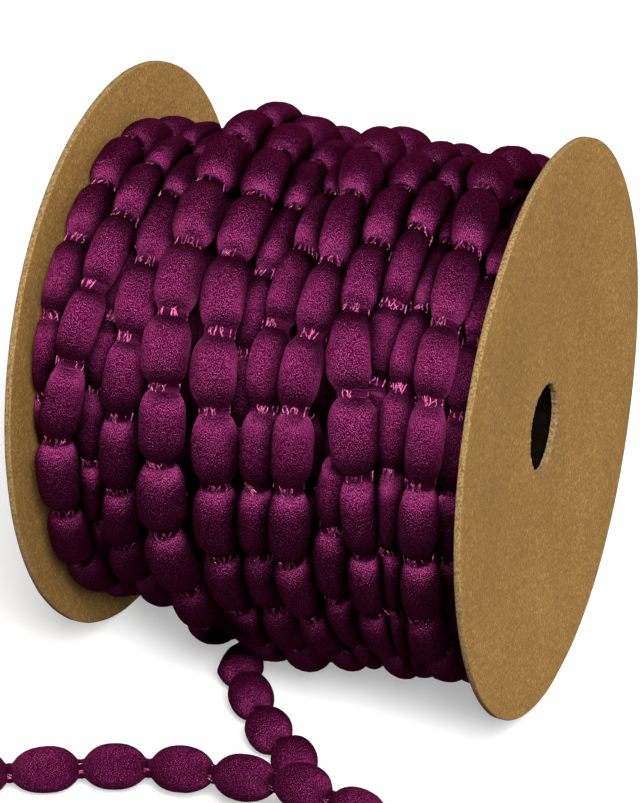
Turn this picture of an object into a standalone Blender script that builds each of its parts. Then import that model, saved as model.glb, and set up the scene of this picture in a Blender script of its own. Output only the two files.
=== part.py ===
"""A roll of pompom trim: a bobble string wound on a small card spool, with one loose end.

The spool stands on the rims of its two card flanges. X runs along its axle, Y goes away
from the side where the loose end comes out, and Z is up. The origin is on the ground,
below the middle of the axle.
"""

import math

import bmesh
import bpy
from mathutils import Matrix, Vector

MM = 0.001
TOUCH_GAP = 0.3 * MM  # what touches keeps this much room
SIDE_GAP = 0.5 * MM  # between the winding's flat-sided ends and the dished card

# The card spool.
FLANGE_RADIUS = 50.0 * MM
SPOOL_WIDTH = 79.2 * MM  # over the outer faces, at the rims
CARD = 1.1 * MM
HOLE_RADIUS = 7.5 * MM
HUB_RADIUS = 15.0 * MM  # the flanges are flat inside this radius
DISH = 2.0 * MM  # the hubs sit this far in from the rims
FLANGE_RINGS = 5  # rings of faces from the hub to the rim
FLANGE_STEPS = 72
CORE_RADIUS = 11.0 * MM
CORE_WALL = 1.8 * MM
CORE_STEPS = 32
LEAN = math.radians(3.5)  # both flanges lean over, because the full spool is pushed askew
REST_FLAT = 0.4 * MM  # how much of each rim is pressed flat where it stands
AXLE_HEIGHT = FLANGE_RADIUS - REST_FLAT

# The trim: plump bobbles on a string, each drawn in to a thin neck.
BOBBLE_RADIUS = 4.0 * MM
NECK_RADIUS = 1.6 * MM
NECK_DROP = 2.0 * MM  # the winding dips this much at the necks
NECK_SHOULDER_DROP = 0.9 * MM  # and this much more beside them
BOBBLES_A_TURN = 23
ROWS_A_BOBBLE = 3  # one at the neck and two on the belly
PITCH_DEG = 360.0 / BOBBLES_A_TURN
VALLEY_DROP = 3.2 * MM  # between two turns that lie side by side
WIDE_VALLEY_DROP = 1.2  # deeper by this much for each millimetre that they stand apart
SHOULDER = 0.31  # a turn's shoulders are this share of the way to the next turn
WIDEST_SHOULDER = 2.9 * MM
PHASE_BASE_DEG = 8.0

# The turns that show, from the left flange to the right one. Angles are in degrees round
# the axle: 0 faces -Y and 90 faces up. Lengths are in millimetres.
STATIONS = (-60, -30, 0, 30, 60, 90, 120, 165, 210, 255)
TURN_COLUMNS = ("neck_deg", "top_r", "low_r", "x_at_stations")
TURNS = (
    (78.0, 40.0, 41.0, (-35.6, -35.6, -35.4, -35.0, -34.4, -31.8, -31.8, -33.4, -34.8, -35.5)),
    (74.0, 42.8, 46.0, (-32.6, -32.3, -32.1, -29.7, -26.7, -24.4, -24.2, -25.6, -28.6, -31.8)),
    (66.0, 38.6, 42.0, (-28.2, -27.7, -27.4, -26.0, -23.9, -21.9, -21.8, -22.8, -25.0, -27.4)),
    (51.0, 42.0, 44.2, (-23.2, -21.9, -21.9, -21.5, -20.7, -19.3, -19.2, -19.8, -21.4, -23.2)),
    (42.6, 46.4, 47.8, (-17.2, -14.6, -13.5, -13.5, -14.2, -15.0, -14.4, -13.5, -14.8, -17.6)),
    (40.1, 46.0, 47.6, (-0.8, -2.2, -3.2, -3.6, -5.4, -5.0, -5.2, -6.6, -6.2, -3.2)),
    (70.0, 42.6, 43.4, (3.4, 1.6, 0.6, 0.3, 0.3, 1.5, 1.2, 0.0, -0.6, 1.4)),
    (44.0, 43.8, 46.8, (7.0, 4.8, 3.4, 3.4, 4.3, 5.4, 5.0, 4.4, 4.2, 5.4)),
    (43.4, 46.2, 47.8, (11.6, 9.8, 9.2, 9.5, 10.1, 9.5, 9.2, 9.6, 10.0, 11.0)),
    (50.0, 46.0, 46.8, (17.4, 16.8, 16.2, 16.0, 17.0, 17.0, 16.4, 15.6, 16.0, 17.2)),
    (54.0, 45.2, 46.4, (22.6, 22.2, 21.9, 20.8, 22.4, 23.3, 22.6, 21.5, 21.7, 22.3)),
    (36.0, 44.6, 45.4, (26.9, 26.4, 26.3, 25.9, 26.5, 26.6, 26.4, 26.4, 26.8, 27.0)),
    (51.0, 46.4, 46.2, (31.2, 30.8, 31.2, 31.6, 31.5, 30.0, 29.6, 30.8, 31.2, 31.4)),
    (45.0, 41.4, 41.8, (35.0, 34.9, 34.9, 35.0, 35.0, 34.6, 34.4, 34.8, 35.0, 35.0)),
)
EDGE_DROP = 3.0 * MM  # the winding's ends lie this far below the turn beside the card

# The loose end: the middles of its bobbles in millimetres, from the winding outwards. It
# runs along the ground, loops and passes over itself.
LOOSE_START = (-7.2, -10.2, 6.6)
LOOSE_BOBBLES = (
    (-7.6, -15.8, 4.4), (-8.8, -24.8, 4.1), (-3.8, -32.5, 4.1), (2.7, -40.4, 4.1),
    (9.4, -46.2, 4.1), (14.9, -54.8, 4.1), (18.5, -65.8, 4.1), (23.6, -76.1, 4.1),
    (31.4, -84.4, 4.1), (42.0, -88.7, 4.1), (53.2, -88.8, 4.1), (62.0, -82.0, 4.1),
    (64.4, -71.4, 4.1), (58.6, -62.4, 4.4), (48.2, -58.8, 6.0), (37.4, -60.3, 8.4),
    (26.8, -62.8, 10.8), (17.0, -60.8, 11.4), (5.4, -58.2, 8.2), (-6.6, -57.0, 5.7),
    (-18.0, -59.0, 4.5), (-28.5, -63.5, 4.2), (-38.7, -68.5, 4.1),
)
LOOSE_FINISH = (-43.8, -71.0, 4.1)
BELLY_SHARE = 0.17  # the belly reaches this far each way along a bobble

# Colours, as shown in shade-free light.
CARD_COLOUR = (0.42, 0.27, 0.11, 1.0)
CORE_COLOUR = (0.30, 0.19, 0.09, 1.0)
TRIM_COLOUR = (0.16, 0.008, 0.07, 1.0)


def material(name, colour, roughness):
    """A plain Principled material."""
    made = bpy.data.materials.new(name)
    made.use_nodes = True
    shader = made.node_tree.nodes["Principled BSDF"]
    shader.inputs["Base Color"].default_value = colour
    shader.inputs["Roughness"].default_value = roughness
    shader.inputs["Metallic"].default_value = 0.0
    return made


def spool_to_ground():
    """From the spool's own frame, with its axle on X, to the ground: leant and lifted."""
    shear = Matrix.Identity(4)
    shear[0][2] = -math.tan(LEAN)
    return Matrix.Translation((0.0, 0.0, AXLE_HEIGHT)) @ shear


def dish(radius):
    """How far the card lies inwards of its rim plane, at this radius."""
    share = min(max((radius - HUB_RADIUS) / (FLANGE_RADIUS - HUB_RADIUS), 0.0), 1.0)
    return DISH * (1.0 - share * share * (3.0 - 2.0 * share))


def card_outer_x(radius):
    """Half the spool's width over the card at this radius."""
    return SPOOL_WIDTH / 2 - dish(radius)


def card_inner_x(radius):
    """Half the room between the flanges at this radius."""
    return card_outer_x(radius) - CARD


def add_object(name, mesh, collection, look):
    """A new object in the collection, with one material."""
    made = bpy.data.objects.new(name, mesh)
    collection.objects.link(made)
    mesh.materials.clear()
    mesh.materials.append(look)
    return made


def turned(name, profile, steps, collection, look):
    """A closed profile of (radius, x) points, turned about the X axis and made a mesh."""
    mesh = bpy.data.meshes.new(name)
    corners = [(radius, 0.0, along) for radius, along in profile]
    edges = [(i, (i + 1) % len(corners)) for i in range(len(corners))]
    mesh.from_pydata(corners, edges, [])
    made = add_object(name, mesh, collection, look)
    screw = made.modifiers.new("turn", "SCREW")
    screw.axis = "Z"
    screw.steps = steps
    screw.render_steps = steps
    screw.use_merge_vertices = True
    screw.merge_threshold = 0.00001
    bpy.context.view_layer.update()
    solid = bpy.data.meshes.new_from_object(made.evaluated_get(bpy.context.evaluated_depsgraph_get()))
    made.modifiers.clear()
    made.data = solid
    solid.materials.clear()
    solid.materials.append(look)
    solid.transform(Matrix.Rotation(math.pi / 2, 4, "Y"))
    return made


def flange(name, side, collection, look, floor_cutter):
    """One dished card disc with its hole, pressed flat where it stands; side is -1 or 1."""
    radii = [HOLE_RADIUS] + [
        HUB_RADIUS + (FLANGE_RADIUS - HUB_RADIUS) * i / FLANGE_RINGS for i in range(FLANGE_RINGS + 1)
    ]
    outer = [(radius, side * card_outer_x(radius)) for radius in radii]
    inner = [(radius, side * card_inner_x(radius)) for radius in radii]
    upper, lower = (outer, inner) if side > 0 else (inner, outer)
    made = turned(name, upper + lower[::-1], FLANGE_STEPS, collection, look)
    made.data.transform(spool_to_ground())
    cut = made.modifiers.new("rest flat", "BOOLEAN")
    cut.operation = "DIFFERENCE"
    cut.solver = "EXACT"
    cut.object = floor_cutter
    made.data.shade_smooth()
    made.data.set_sharp_from_angle(angle=math.radians(30))
    return made


def core(collection, look):
    """The card tube between the flanges."""
    half = card_inner_x(CORE_RADIUS) - TOUCH_GAP
    bore = CORE_RADIUS - CORE_WALL
    profile = [(bore, half), (CORE_RADIUS, half), (CORE_RADIUS, -half), (bore, -half)]
    made = turned("core", profile, CORE_STEPS, collection, look)
    made.data.transform(spool_to_ground())
    made.data.shade_smooth()
    made.data.set_sharp_from_angle(angle=math.radians(30))
    return made


def along_stations(values, angle):
    """A smooth closed curve through one value for each station, read at an angle."""
    count = len(STATIONS)
    angle = (angle - STATIONS[0]) % 360.0 + STATIONS[0]
    at = max(i for i in range(count) if STATIONS[i] <= angle)

    def knot(i):
        return STATIONS[i % count] + 360.0 * (i // count)

    def slope(i):
        rise = values[(i + 1) % count] - values[(i - 1) % count]
        return rise / (knot(i + 1) - knot(i - 1))

    span = knot(at + 1) - knot(at)
    t = (angle - knot(at)) / span
    here, there = values[at], values[(at + 1) % count]
    return (
        (2 * t**3 - 3 * t**2 + 1) * here
        + (t**3 - 2 * t**2 + t) * span * slope(at)
        + (3 * t**2 - 2 * t**3) * there
        + (t**3 - t**2) * span * slope(at + 1)
    )


def turn_radius(turn, angle):
    """The outside radius of a turn at an angle, over its bobbles."""
    _, top, low, _ = turn
    return MM * ((top + low) / 2 + (top - low) / 2 * math.sin(math.radians(angle)))


def turn_x(turn, angle):
    """Where a turn lies along the axle at an angle."""
    return MM * along_stations(turn[3], angle)


def turn_phase(turn):
    """A turn's first neck, as an angle within half a bobble of the common one."""
    return (turn[0] - PHASE_BASE_DEG + PITCH_DEG / 2) % PITCH_DEG - PITCH_DEG / 2


def winding_columns(row):
    """The (x, angle, radius) points across the winding in one row, from left to right."""
    step = row * PITCH_DEG / ROWS_A_BOBBLE + PHASE_BASE_DEG
    at_neck = row % ROWS_A_BOBBLE == 0
    end = card_inner_x(FLANGE_RADIUS * 0.8) - SIDE_GAP
    places = []
    for turn in TURNS:
        angle = step + turn_phase(turn)
        places.append((turn_x(turn, angle), angle, turn_radius(turn, angle)))
    first, last = places[0], places[-1]
    points = [(-end, first[1], first[2] - EDGE_DROP)]
    for i, (x, angle, radius) in enumerate(places):
        before = places[i - 1][0] if i else 2 * (-end) - x
        after = places[i + 1][0] if i + 1 < len(places) else 2 * end - x
        crest = radius - (NECK_DROP if at_neck else 0.0)
        for share in (SHOULDER * (before - x), 0.0, SHOULDER * (after - x)):
            off = max(-WIDEST_SHOULDER, min(share, WIDEST_SHOULDER))
            fall = BOBBLE_RADIUS - math.sqrt(BOBBLE_RADIUS**2 - off**2)
            if at_neck and share:
                fall += NECK_SHOULDER_DROP
            points.append((x + off, angle, crest - fall))
        if i + 1 < len(places):
            next_x, next_angle, next_radius = places[i + 1]
            room = max(0.0, next_x - x - 2 * BOBBLE_RADIUS)
            low = min(radius, next_radius) - VALLEY_DROP - WIDE_VALLEY_DROP * room
            points.append(((x + next_x) / 2, (angle + next_angle) / 2, low))
    points.append((end, last[1], last[2] - EDGE_DROP))
    return points


def winding(collection, look):
    """The whole winding as one solid: its turns as ridges that dip at each neck, with a bore."""
    work = bmesh.new()

    def ring_point(x, angle, radius):
        turn = math.radians(angle)
        return work.verts.new((x, -radius * math.cos(turn), radius * math.sin(turn)))

    bore = CORE_RADIUS + TOUCH_GAP
    middle = FLANGE_RADIUS * 0.56
    rows = []
    for row in range(BOBBLES_A_TURN * ROWS_A_BOBBLE):
        across = winding_columns(row)
        left, right = across[0], across[-1]
        left_end = [
            (-(card_inner_x(bore) - SIDE_GAP), left[1], bore),
            (-(card_inner_x(middle) - SIDE_GAP), left[1], middle),
        ]
        right_end = [
            (card_inner_x(middle) - SIDE_GAP, right[1], middle),
            (card_inner_x(bore) - SIDE_GAP, right[1], bore),
        ]
        rows.append([ring_point(*point) for point in left_end + across + right_end])
    for row, line in enumerate(rows):
        after = rows[(row + 1) % len(rows)]
        for i in range(len(line)):
            j = (i + 1) % len(line)
            work.faces.new((line[i], after[i], after[j], line[j]))
    bmesh.ops.triangulate(work, faces=work.faces)
    bmesh.ops.recalc_face_normals(work, faces=work.faces)
    mesh = bpy.data.meshes.new("wound_trim")
    work.to_mesh(mesh)
    work.free()
    mesh.transform(spool_to_ground())
    made = add_object("wound_trim", mesh, collection, look)
    mesh.shade_smooth()
    return made


def smooth_point(points, at):
    """A point on the smooth curve through the points; at counts them from 0."""
    i = min(max(int(math.floor(at)), 0), len(points) - 2)
    t = at - i
    a = points[max(i - 1, 0)]
    b = points[i]
    c = points[i + 1]
    d = points[min(i + 2, len(points) - 1)]
    return 0.5 * (
        2 * b + (c - a) * t + (2 * a - 5 * b + 4 * c - d) * t**2 + (3 * b - a - 3 * c + d) * t**3
    )


def loose_end(collection, look):
    """The string's free end: a tube along its route that swells at each bobble."""
    middles = [Vector(point) * MM for point in LOOSE_BOBBLES]
    stops = [Vector(LOOSE_START) * MM]
    for i in range(len(middles) - 1):
        stops.append(smooth_point(middles, i + 0.5))
    stops.append(Vector(LOOSE_FINISH) * MM)
    route = [(stops[0], NECK_RADIUS)]
    for i, middle in enumerate(middles):
        before, after = stops[i], stops[i + 1]
        for share, radius in ((-BELLY_SHARE, BOBBLE_RADIUS), (BELLY_SHARE, BOBBLE_RADIUS)):
            way = (after - before) * share
            route.append((middle + way, radius))
        route.append((after, NECK_RADIUS))
    data = bpy.data.curves.new("loose_end", "CURVE")
    data.dimensions = "3D"
    data.bevel_depth = 1.0
    data.bevel_resolution = 2
    data.use_fill_caps = True
    data.materials.append(look)
    spline = data.splines.new("POLY")
    spline.points.add(len(route) - 1)
    for point, (place, radius) in zip(spline.points, route):
        point.co = (*place, 1.0)
        point.radius = radius
    made = bpy.data.objects.new("loose_end", data)
    collection.objects.link(made)
    return made


def ground_cutter(collection):
    """A block below the ground, which presses the rims flat."""
    depth = 10.0 * MM
    bpy.ops.mesh.primitive_cube_add(size=1.0, location=(0.0, 0.0, -depth / 2))
    made = bpy.context.object
    made.name = "ground_cutter"
    made.data.transform(Matrix.Diagonal((4 * FLANGE_RADIUS, 4 * FLANGE_RADIUS, depth, 1.0)))
    for old in list(made.users_collection):
        old.objects.unlink(made)
    collection.objects.link(made)
    made.hide_render = True
    made.display_type = "WIRE"
    return made


def main():
    for old in list(bpy.data.objects):
        bpy.data.objects.remove(old, do_unlink=True)
    scene = bpy.context.scene.collection
    parts = bpy.data.collections.new("pompom_trim_roll")
    cutters = bpy.data.collections.new("cutters")
    scene.children.link(parts)
    scene.children.link(cutters)
    card = material("card", CARD_COLOUR, 0.85)
    tube = material("core card", CORE_COLOUR, 0.9)
    trim = material("trim", TRIM_COLOUR, 0.5)
    floor_cutter = ground_cutter(cutters)
    flange("flange_left", -1, parts, card, floor_cutter)
    flange("flange_right", 1, parts, card, floor_cutter)
    core(parts, tube)
    winding(parts, trim)
    loose_end(parts, trim)
    bpy.context.view_layer.update()


main()
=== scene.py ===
"""The looks of a roll of pompom trim: a bobble string wound on a card spool, with one loose end.

Lengths in the tables are in millimetres in the spool's own frame, as in part.py: X runs along
the axle, an angle of 0 faces -Y and 90 faces up. MM turns them into metres.
"""

import math

import bpy
import numpy as np
from mathutils import Matrix, Vector


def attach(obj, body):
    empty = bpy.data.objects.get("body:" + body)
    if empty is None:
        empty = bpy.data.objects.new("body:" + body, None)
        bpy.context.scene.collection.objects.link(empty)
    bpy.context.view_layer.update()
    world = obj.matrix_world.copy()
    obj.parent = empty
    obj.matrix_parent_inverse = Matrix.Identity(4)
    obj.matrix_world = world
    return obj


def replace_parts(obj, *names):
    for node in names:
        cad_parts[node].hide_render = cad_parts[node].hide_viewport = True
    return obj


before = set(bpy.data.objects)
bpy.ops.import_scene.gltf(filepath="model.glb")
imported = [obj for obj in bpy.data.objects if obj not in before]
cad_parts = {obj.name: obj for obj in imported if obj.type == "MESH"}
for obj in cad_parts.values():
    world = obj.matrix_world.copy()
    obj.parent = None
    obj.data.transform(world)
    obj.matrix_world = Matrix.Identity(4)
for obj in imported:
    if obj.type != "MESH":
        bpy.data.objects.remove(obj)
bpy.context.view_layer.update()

MM = 0.001
SEED = 24
rng = np.random.default_rng(SEED)

# The spool, as part.py has it.
FLANGE_RADIUS = 50.0
SPOOL_WIDTH = 79.2
CARD = 1.1
HOLE_RADIUS = 7.5
HUB_RADIUS = 15.0
DISH = 2.0
LEAN = math.radians(3.5)
AXLE_HEIGHT = 49.6
BULGE = 1.3
BULGE_RADIUS = 38.0
BULGE_WIDTH = 8.0
BODY = "root"

# The trim, as part.py has it.
BOBBLE_RADIUS = 3.85
NECK_RADIUS = 2.45
LOOSE_NECK_RADIUS = 1.65
WOUND_PITCH = 12.8  # the wound string is stretched a little

# The turns that show, from left to right. Each row is a neck that the photograph shows: its
# angle, its place along the axle and the turn's outside radius there. Behind, where nothing
# shows, the turn runs through four more places, each with its x and its outside radius.
TURN_COLUMNS = ("neck_angle", "x", "outer_radius")
BEHIND_ANGLES = (150, 200, 250, 300)
TURNS = {
    "t01": ((0.0, -36.6, 40.4), (18.5, -36.6, 43.0), (37.2, -36.4, 44.6), (55.8, -35.7, 44.2),
            (72.5, -35.5, 43.4), (90.8, -35.6, 43.2), (108.0, -35.4, 41.4)),
    "t02": ((-28.3, -34.6, 45.6), (-9.3, -33.8, 45.8), (9.3, -33.8, 45.8), (27.4, -32.5, 45.3),
            (45.4, -30.7, 44.8), (64.1, -29.4, 44.2), (81.6, -29.2, 43.0), (98.5, -28.2, 41.2)),
    "t02b": ((-36.0, -29.6, 41.0), (-17.0, -29.7, 41.2), (2.0, -29.6, 41.2), (21.0, -28.8, 40.6),
             (40.0, -27.4, 40.0), (60.0, -26.4, 39.6)),
    "t03": ((-42.0, -27.2, 42.4), (-23.0, -26.4, 42.4), (-4.0, -25.1, 42.2), (16.4, -24.4, 42.6),
            (35.8, -23.5, 43.0), (54.5, -23.3, 42.6), (74.5, -23.9, 42.0), (93.0, -24.2, 40.8)),
    "t04": ((-25.8, -13.7, 47.6), (-7.3, -15.0, 47.4), (9.8, -14.8, 47.0), (26.6, -15.0, 46.8),
            (42.6, -15.5, 46.6), (58.9, -15.8, 46.5), (75.8, -16.4, 46.4), (93.5, -17.2, 46.2),
            (110.5, -17.4, 46.0)),
    "t05": ((-29.5, -4.8, 47.4), (-11.0, -5.2, 47.2), (7.3, -5.0, 47.0), (23.7, -5.9, 46.6),
            (40.5, -6.9, 46.4), (58.0, -8.1, 46.2), (74.5, -7.7, 46.0), (92.1, -9.0, 45.6),
            (109.5, -10.2, 45.2)),
    "t06": ((0.0, -1.8, 40.4), (19.0, -1.8, 40.4), (38.0, -2.4, 41.4), (57.5, -2.5, 42.8),
            (77.0, -1.9, 42.8), (96.5, -3.4, 42.8)),
    "t07": ((-27.5, 1.8, 46.2), (-9.6, 1.5, 46.0), (8.1, 1.8, 45.6), (26.0, 2.0, 45.2),
            (45.0, 1.9, 44.6), (64.3, 2.6, 44.2), (82.8, 3.6, 43.8)),
    "t08": ((-43.0, 10.2, 47.6), (-25.3, 9.0, 47.4), (-8.2, 7.2, 47.2), (9.9, 7.8, 47.0),
            (27.4, 7.8, 46.6), (43.8, 8.4, 46.4), (61.1, 9.0, 46.2), (80.0, 7.7, 46.2),
            (98.0, 5.6, 46.2), (116.0, 5.2, 46.0)),
    "t09": ((-37.0, 21.2, 46.4), (-19.3, 20.6, 46.4), (-2.0, 20.6, 46.4), (16.0, 19.5, 46.8),
            (33.3, 17.4, 47.2), (51.0, 15.0, 46.6), (67.6, 15.0, 46.2), (85.4, 15.2, 45.8),
            (103.5, 14.4, 45.2)),
    "t10": ((-37.5, 15.0, 46.2), (-18.0, 14.2, 46.0), (1.5, 15.0, 45.2), (20.0, 16.6, 43.0),
            (37.5, 19.0, 42.2), (55.0, 20.0, 44.4), (74.1, 20.4, 45.7), (92.5, 20.0, 44.6)),
    "t11": ((-38.0, 24.2, 45.4), (-19.3, 23.9, 45.2), (-0.8, 24.4, 45.0), (18.0, 24.7, 44.8),
            (36.6, 24.7, 44.7), (55.4, 25.1, 43.8), (75.6, 25.4, 42.4), (94.5, 25.4, 42.2)),
    "t12": ((-36.0, 28.6, 46.2), (-18.1, 29.0, 46.2), (-0.8, 29.6, 46.2), (16.9, 30.1, 46.3),
            (35.0, 30.2, 46.4), (51.9, 30.0, 46.4), (70.6, 29.6, 46.4), (90.2, 28.0, 46.4),
            (108.0, 26.4, 46.4)),
    "t13": ((-5.0, 33.8, 40.2), (14.0, 33.8, 40.0), (33.0, 33.8, 39.6), (52.0, 33.9, 39.4),
            (71.0, 33.9, 39.4), (90.0, 33.9, 39.4)),
}
BEHIND = {
    "t01": ((-34.0, 40.0), (-34.8, 40.6), (-35.6, 41.0), (-36.6, 42.0)),
    "t02": ((-25.8, 40.2), (-28.2, 41.0), (-31.6, 42.0), (-33.6, 43.6)),
    "t02b": ((-22.6, 40.0), (-24.6, 41.0), (-27.2, 41.6), (-28.6, 43.6)),
    "t03": ((-19.8, 40.0), (-21.2, 41.4), (-23.0, 42.2), (-24.8, 44.8)),
    "t04": ((-14.0, 47.0), (-14.6, 47.2), (-17.2, 47.2), (-15.2, 48.9)),
    "t05": ((-6.4, 45.6), (-6.2, 46.0), (-3.8, 46.6), (-4.0, 49.3)),
    "t06": ((-0.2, 41.6), (-0.8, 41.6), (1.2, 42.4), (0.8, 45.6)),
    "t07": ((4.4, 44.4), (4.2, 45.0), (5.2, 46.0), (2.8, 49.6)),
    "t08": ((9.4, 46.6), (10.0, 47.0), (11.0, 47.0), (10.4, 48.0)),
    "t09": ((16.4, 45.4), (18.0, 46.2), (21.0, 46.3), (21.6, 46.3)),
    "t10": ((22.2, 43.8), (20.8, 45.0), (18.4, 45.6), (16.0, 46.4)),
    "t11": ((26.4, 43.6), (26.8, 45.0), (27.0, 45.0), (24.8, 44.3)),
    "t12": ((30.2, 46.2), (31.2, 46.3), (31.4, 46.3), (31.0, 45.4)),
    "t13": ((34.0, 39.8), (34.0, 40.4), (34.0, 40.4), (33.9, 40.2)),
}

# How wide each turn's bobbles stand beside their height: some are pressed flat sideways.
TURN_WIDTHS = {
    "t01": 0.93, "t02": 0.94, "t02b": 0.80, "t03": 0.82, "t04": 1.02, "t05": 1.02, "t06": 0.84,
    "t07": 0.85, "t08": 0.92, "t09": 1.00, "t10": 0.88, "t11": 0.84, "t12": 0.90, "t13": 0.88,
}

# The layers below: where their turns lie along the axle, and how many bobbles each has.
MIDDLE_TURNS = (-33.6, -26.0, -18.0, -1.6, 6.4, 14.4, 22.4, 30.4)
MIDDLE_RADIUS = 37.4
MIDDLE_BOBBLES = 16
INNER_TURNS = (-31.5, -23.6, -15.7, -7.8, 0.1, 8.0, 15.9, 23.8, 31.7)
INNER_RADIUS = 31.0
INNER_BOBBLES = 13
WANDERS = (0.2, 0.5)

# The turn that the loose end comes from: it sinks back between two turns behind the bottom.
# (angle, place along the axle, radius of its middle line), against the way it leaves.
SUNK_TURN = (
    (283.4, -9.8, 44.2), (268, -10.0, 42.2), (252, -10.1, 40.6), (235, -10.2, 39.2),
    (215, -10.3, 37.6), (190, -10.3, 36.2), (160, -10.2, 35.0), (120, -10.0, 34.4),
    (60, -9.8, 34.2), (0, -9.8, 34.2), (-60, -9.8, 34.2),
)
SUNK_BOBBLE_ANGLE = 19.0

# The loose end, as part.py has it: the middles of its bobbles, from the winding outwards.
LOOSE_START = (-7.2, -10.2, 6.6)
LOOSE_BOBBLES = (
    (-7.6, -15.8, 4.4), (-8.8, -24.8, 4.1), (-3.8, -32.5, 4.1), (2.7, -40.4, 4.1),
    (9.4, -46.2, 4.1), (14.9, -54.8, 4.1), (18.5, -65.8, 4.1), (23.6, -76.1, 4.1),
    (31.4, -84.4, 4.1), (42.0, -88.7, 4.1), (53.2, -88.8, 4.1), (62.0, -82.0, 4.1),
    (64.4, -71.4, 4.1), (58.6, -62.4, 4.4), (48.2, -58.8, 6.0), (37.4, -60.3, 8.4),
    (26.8, -62.8, 10.8), (17.0, -60.8, 11.4), (5.4, -58.2, 8.2), (-6.6, -57.0, 5.7),
    (-18.0, -59.0, 4.5), (-28.5, -63.5, 4.2), (-38.7, -68.5, 4.1),
)
LOOSE_FINISH = (-43.8, -71.0, 4.1)

# The camera, fitted to the photograph's two flanges.
CAMERA_AZIMUTH = math.radians(20.7077)
CAMERA_HEIGHT_ANGLE = math.radians(33.0609)
CAMERA_DISTANCE = 607.94
CAMERA_RIGHT_SHIFT = -3.04
CAMERA_UP_SHIFT = -2.78
LENS = 156.91
SENSOR = 36.0


# -------- numbers and curves

def closed_curve(knots, values, angles):
    """A smooth curve round the axle through one value for each knot, read at the angles."""
    knots = np.asarray(knots, float)
    values = np.asarray(values, float)
    wrapped = (angles - knots[0]) % 360.0 + knots[0]
    at = np.searchsorted(knots, wrapped, side="right")
    knot = np.concatenate([[knots[-1] - 360], knots, [knots[0] + 360, knots[1] + 360]])
    value = np.concatenate([[values[-1]], values, [values[0], values[1]]])
    return hermite(knot, value, at, wrapped)


def open_curve(knots, values, places):
    """A smooth curve through one value for each knot, straight at its ends."""
    knots = np.asarray(knots, float)
    values = np.asarray(values, float)
    knot = np.concatenate([[2 * knots[0] - knots[1]], knots, [2 * knots[-1] - knots[-2]]])
    value = np.concatenate([[2 * values[0] - values[1]], values, [2 * values[-1] - values[-2]]])
    at = np.clip(np.searchsorted(knots, places, side="right"), 1, len(knots) - 1)
    return hermite(knot, value, at, places)


def hermite(knot, value, at, places):
    """The cubic between knots at and at + 1, whose slopes follow the knots around them."""
    span = knot[at + 1] - knot[at]
    t = (places - knot[at]) / span
    slope_here = (value[at + 1] - value[at - 1]) / (knot[at + 1] - knot[at - 1])
    after = np.minimum(at + 2, len(knot) - 1)
    slope_there = (value[after] - value[at]) / (knot[after] - knot[at])
    return (
        (2 * t**3 - 3 * t**2 + 1) * value[at]
        + (t**3 - 2 * t**2 + t) * span * slope_here
        + (3 * t**2 - 2 * t**3) * value[at + 1]
        + (t**3 - t**2) * span * slope_there
    )


def unit(vectors):
    """The vectors, each of length 1."""
    return vectors / np.linalg.norm(vectors, axis=-1, keepdims=True)


def spool_to_ground(points):
    """From the spool's own frame to the ground's: leant and lifted."""
    lifted = np.array(points, float)
    lifted[..., 0] -= lifted[..., 2] * math.tan(LEAN)
    lifted[..., 2] += AXLE_HEIGHT
    return lifted


def dish(radius):
    """How far the card lies inwards of its rim plane, at this radius."""
    share = np.clip((radius - HUB_RADIUS) / (FLANGE_RADIUS - HUB_RADIUS), 0.0, 1.0)
    return DISH * (1.0 - share * share * (3.0 - 2.0 * share))


def bulge(radius, side):
    """How far the full spool pushes the left card out between its hub and its rim."""
    return BULGE * np.exp(-(((radius - BULGE_RADIUS) / BULGE_WIDTH) ** 2)) * (side < 0)


def card_inner_x(radius, side=1):
    """How far the card's inner face stands from the middle at this radius."""
    return SPOOL_WIDTH / 2 - dish(radius) - CARD + bulge(radius, side)


# -------- the string

# Rings along half a bobble, from its neck (0) to its belly (1).
FINE_RINGS = (0.0, 0.055, 0.085, 0.10, 0.12, 0.15, 0.20, 0.27, 0.36, 0.48, 0.63, 0.81, 1.0)
COARSE_RINGS = (0.0, 0.10, 0.16, 0.26, 0.42, 0.68, 1.0)
SLOPE_STEP = 0.02  # of a bobble's length, to find the way that the string runs
FINE_SIDES = 28
COARSE_SIDES = 14
NECK_SHARE = 0.09  # of half a bobble's length: bare neck
NECK_DIP = 0.35
HUMP_POWER = 4
FULLNESS = 3.3  # the higher, the more a bobble's ends are full and round
LOOSE_FULLNESS = 2.25
LOOSE_FATNESS = 1.04
LOOSE_WILDNESS = 0.35  # the loose end's share of the winding's unevenness
FAT_SPREAD = 0.018
FULL_SPREAD = 0.2
FULL_LIMITS = (-0.35, 0.45)
DROP_SPREAD = 0.12
SHIFT_SPREAD = 0.16
LUMPS = ((1, 0.010), (2, 0.012), (3, 0.008), (5, 0.005))  # waves round a ring, and their size
LUMP_TWIST = 3.0
GATHER_REACH = 0.5  # of half a bobble's length: where the cover gathers towards the neck
# how far from each neck the cover is painted darker, as shade
PAINTED_NECK_SHADE_REACH = 1.6

# Where two turns meet.
LEAST_KEPT = 0.45  # a bobble keeps at least this share of its girth towards one neighbour
LEAST_KEPT_BY_CARD = 0.3
LEAST_APART = 0.5
SWELL = 0.22
PAINTED_CREASE_WIDTH = 1.2  # how near two turns lie where the crease between them is painted dark, as shade
PAINTED_CREASE_FACING = 0.5
PAINTED_CREASE_EDGE = 0.45
START_REACH = 9.0  # within this of its start, the loose end and its turn don't press on each other
NO_CONTACT = 99.0
TOO_FAR = 20.0


def profile(from_neck, radius, fullness, neck):
    """A bobble's radius, from_neck running from 0 at either neck to 1 at its belly."""
    reach = np.clip((1.0 - from_neck) / (1.0 - NECK_SHARE), 0.0, 1.0)
    body = np.sqrt(np.clip(1.0 - reach**fullness, 0.0, 1.0))
    return (body**3 * (radius**3 - neck**3) + neck**3) ** (1 / 3)


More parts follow.
